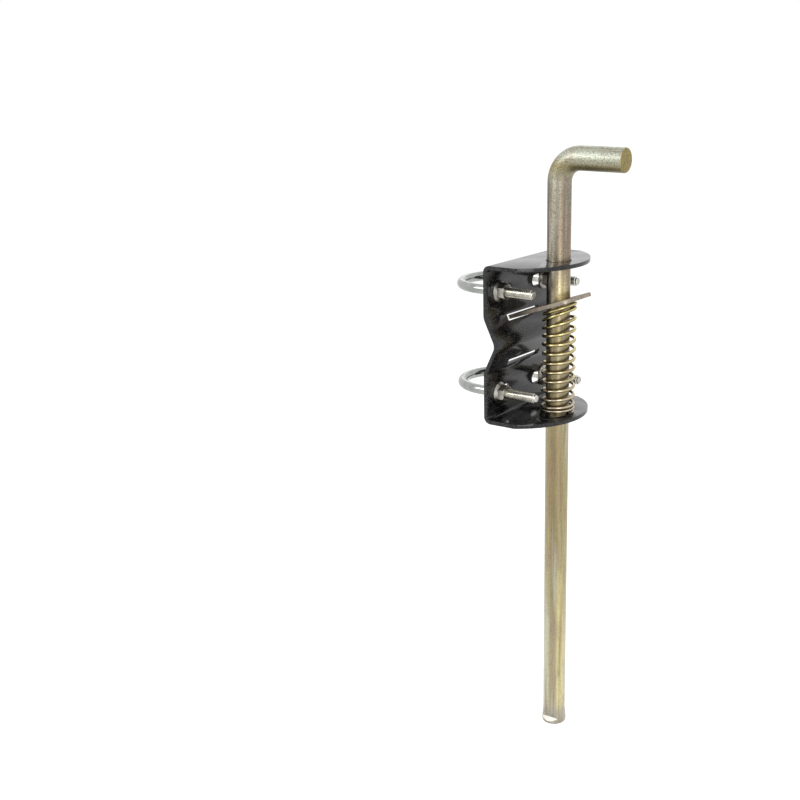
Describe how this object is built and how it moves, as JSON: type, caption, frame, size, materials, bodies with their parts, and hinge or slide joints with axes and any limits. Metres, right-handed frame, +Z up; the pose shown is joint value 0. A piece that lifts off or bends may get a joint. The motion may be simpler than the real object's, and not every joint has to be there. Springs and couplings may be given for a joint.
{
  "type": "gate drop bolt",
  "caption": "Round sliding bolt with a bent handle in a folded bracket, held at any height by a sprung friction lever and clamped to a gate tube by U-bolts.",
  "frame": {"origin": "on the axis of the gate tube that the U-bolts clamp, half way up the bracket", "axes": "+X from the gate tube to the sliding bolt, +Z up along the bolt towards its handle, +Y across the web"},
  "size_m": [0.1486, 0.1016, 0.4995],
  "materials": {
    "black_powder_coat": "gloss black powder coat on steel",
    "yellow_zinc": "yellow passivated zinc, semi-gloss",
    "dull_zinc": "pale yellow zinc on punched steel plate",
    "bright_zinc": "bright clear zinc"
  },
  "bodies": {
    "body": {"bracket": "black_powder_coat", "spring": "yellow_zinc", "upper_u_bolt": "bright_zinc", "lower_u_bolt": "bright_zinc", "upper_near_nut": "bright_zinc", "upper_far_nut": "bright_zinc", "lower_near_nut": "bright_zinc", "lower_far_nut": "bright_zinc"},
    "rod": {"drop_rod": "yellow_zinc"},
    "lever": {"lock_lever": "dull_zinc"}
  },
  "joints": [
    {"name": "bolt_slide", "type": "slide", "parent": "body", "child": "rod", "axis": [0, 0, 1], "range_m": [-0.055, 0.265]},
    {"name": "lever_press", "type": "hinge", "parent": "body", "child": "lever", "pos_m": [0.02602, 0, 0.0246], "axis": [0, 1, 0], "range_deg": [0, 8], "stiffness_Nm_per_rad": 0.6, "springref_deg": -28.65, "deforming": ["spring"]}
  ]
}
